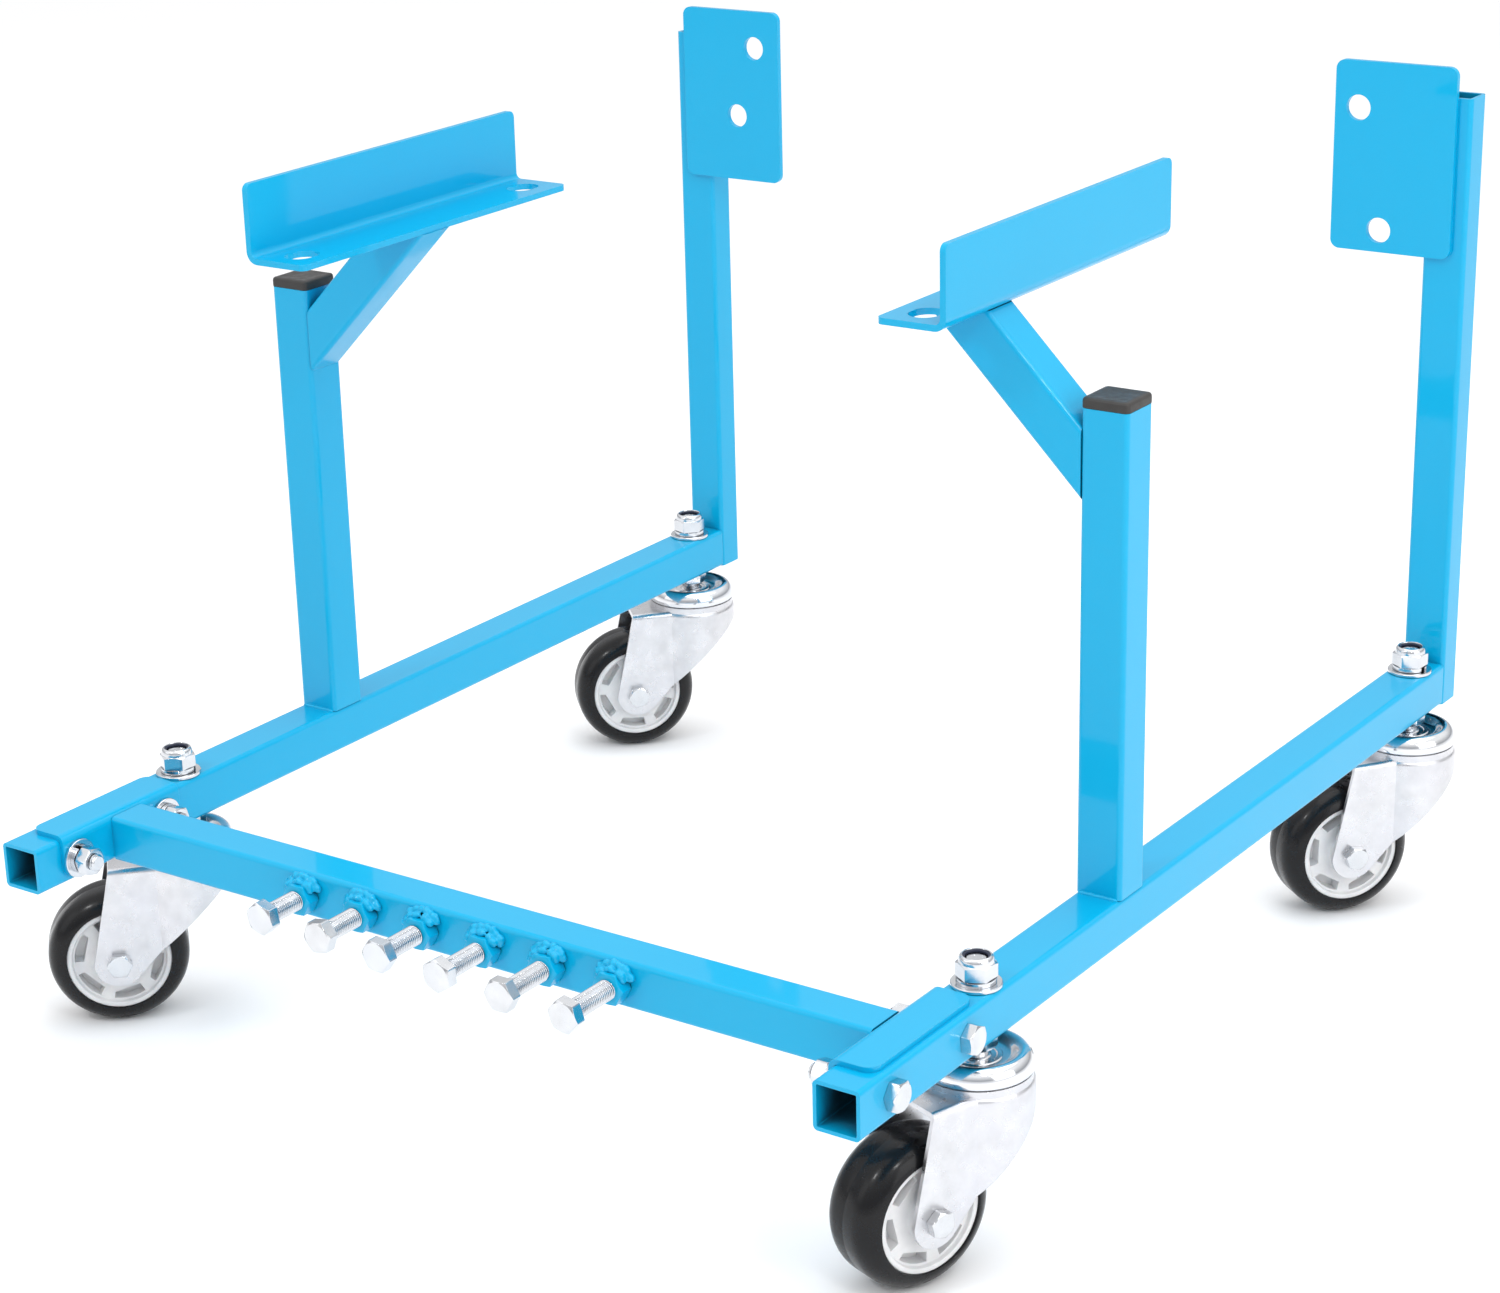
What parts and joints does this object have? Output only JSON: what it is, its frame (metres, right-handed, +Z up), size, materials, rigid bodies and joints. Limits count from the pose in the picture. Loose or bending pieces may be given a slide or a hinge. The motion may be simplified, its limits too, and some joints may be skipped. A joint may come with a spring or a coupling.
{
  "type": "engine stand",
  "caption": "Low bolted cradle of square steel tube on swivel casters that carries an engine between slotted side brackets and rear plates with mounting holes.",
  "frame": {"origin": "centre of the bounding box's footprint, at floor level", "axes": "+X to the stand's right, +Y to its rear where the bell housing plates stand, +Z up"},
  "size_m": [0.9174, 0.992, 0.742],
  "materials": {
    "blue_paint": "glossy sky-blue enamel",
    "zinc_hardware": "bright zinc plate",
    "bright_zinc": "bright plate",
    "zinc_fork": "bright zinc plate on pressed sheet",
    "cap_plastic": "moulded, slightly shiny",
    "tyre_rubber": "smooth black rubber",
    "wheel_nylon": "off-white moulded",
    "bearing_steel": "ground",
    "insert_nylon": "moulded"
  },
  "bodies": {
    "frame": {"caster_kingpin_nuts": "zinc_hardware", "caster_race_caps": "bright_zinc", "caster_stems": "zinc_hardware", "crossbar": "blue_paint", "crossbar_bolt_nuts": "zinc_hardware", "crossbar_bolt_spring_washers": "zinc_hardware", "crossbar_bolt_washers": "zinc_hardware", "crossbar_bolts": "zinc_hardware", "left_angle_bracket": "blue_paint", "left_bell_plate": "blue_paint", "left_brace": "blue_paint", "left_crossbar_bracket": "blue_paint", "left_post": "blue_paint", "left_post_cap": "cap_plastic", "left_rail": "blue_paint", "left_upright": "blue_paint", "rack_bolts": "zinc_hardware", "rack_nuts": "blue_paint", "right_angle_bracket": "blue_paint", "right_bell_plate": "blue_paint", "right_brace": "blue_paint", "right_crossbar_bracket": "blue_paint", "right_post": "blue_paint", "right_post_cap": "cap_plastic", "right_rail": "blue_paint", "right_upright": "blue_paint", "stem_lock_nut_inserts": "insert_nylon", "stem_lock_nuts": "zinc_hardware", "stem_spring_washers": "zinc_hardware", "stem_washers": "zinc_hardware", "swivel_bearing_balls": "bearing_steel"},
    "front_left_swivel": {"front_left_axle_bolt": "zinc_hardware", "front_left_axle_nut": "zinc_hardware", "front_left_axle_sleeve": "zinc_hardware", "front_left_fork": "zinc_fork"},
    "front_left_wheel": {"front_left_tyre": "tyre_rubber", "front_left_wheel_bearings": "bearing_steel", "front_left_wheel_core": "wheel_nylon"},
    "front_right_swivel": {"front_right_axle_bolt": "zinc_hardware", "front_right_axle_nut": "zinc_hardware", "front_right_axle_sleeve": "zinc_hardware", "front_right_fork": "zinc_fork"},
    "front_right_wheel": {"front_right_tyre": "tyre_rubber", "front_right_wheel_bearings": "bearing_steel", "front_right_wheel_core": "wheel_nylon"},
    "rear_left_swivel": {"rear_left_axle_bolt": "zinc_hardware", "rear_left_axle_nut": "zinc_hardware", "rear_left_axle_sleeve": "zinc_hardware", "rear_left_fork": "zinc_fork"},
    "rear_left_wheel": {"rear_left_tyre": "tyre_rubber", "rear_left_wheel_bearings": "bearing_steel", "rear_left_wheel_core": "wheel_nylon"},
    "rear_right_swivel": {"rear_right_axle_bolt": "zinc_hardware", "rear_right_axle_nut": "zinc_hardware", "rear_right_axle_sleeve": "zinc_hardware", "rear_right_fork": "zinc_fork"},
    "rear_right_wheel": {"rear_right_tyre": "tyre_rubber", "rear_right_wheel_bearings": "bearing_steel", "rear_right_wheel_core": "wheel_nylon"}
  },
  "joints": [
    {"name": "front_left_swivel_turn", "type": "hinge", "parent": "frame", "child": "front_left_swivel", "pos_m": [-0.3603, -0.3115, 0.176], "axis": [0, 0, 1], "continuous": true},
    {"name": "front_left_wheel_roll", "type": "hinge", "parent": "front_left_swivel", "child": "front_left_wheel", "pos_m": [-0.40485, -0.35605, 0.0595], "axis": [0.7071, -0.7071, 0], "continuous": true},
    {"name": "front_right_swivel_turn", "type": "hinge", "parent": "frame", "child": "front_right_swivel", "pos_m": [0.4157, -0.3115, 0.176], "axis": [0, 0, 1], "continuous": true},
    {"name": "front_right_wheel_roll", "type": "hinge", "parent": "front_right_swivel", "child": "front_right_wheel", "pos_m": [0.39415, -0.3707, 0.0595], "axis": [0.9397, -0.342, 0], "continuous": true},
    {"name": "rear_left_swivel_turn", "type": "hinge", "parent": "frame", "child": "rear_left_swivel", "pos_m": [-0.3603, 0.436, 0.176], "axis": [0, 0, 1], "continuous": true},
    {"name": "rear_left_wheel_roll", "type": "hinge", "parent": "rear_left_swivel", "child": "rear_left_wheel", "pos_m": [-0.40485, 0.39145, 0.0595], "axis": [0.7071, -0.7071, 0], "continuous": true},
    {"name": "rear_right_swivel_turn", "type": "hinge", "parent": "frame", "child": "rear_right_swivel", "pos_m": [0.4157, 0.436, 0.176], "axis": [0, 0, 1], "continuous": true},
    {"name": "rear_right_wheel_roll", "type": "hinge", "parent": "rear_right_swivel", "child": "rear_right_wheel", "pos_m": [0.37605, 0.38704, 0.0595], "axis": [0.7771, -0.6293, 0], "continuous": true}
  ]
}
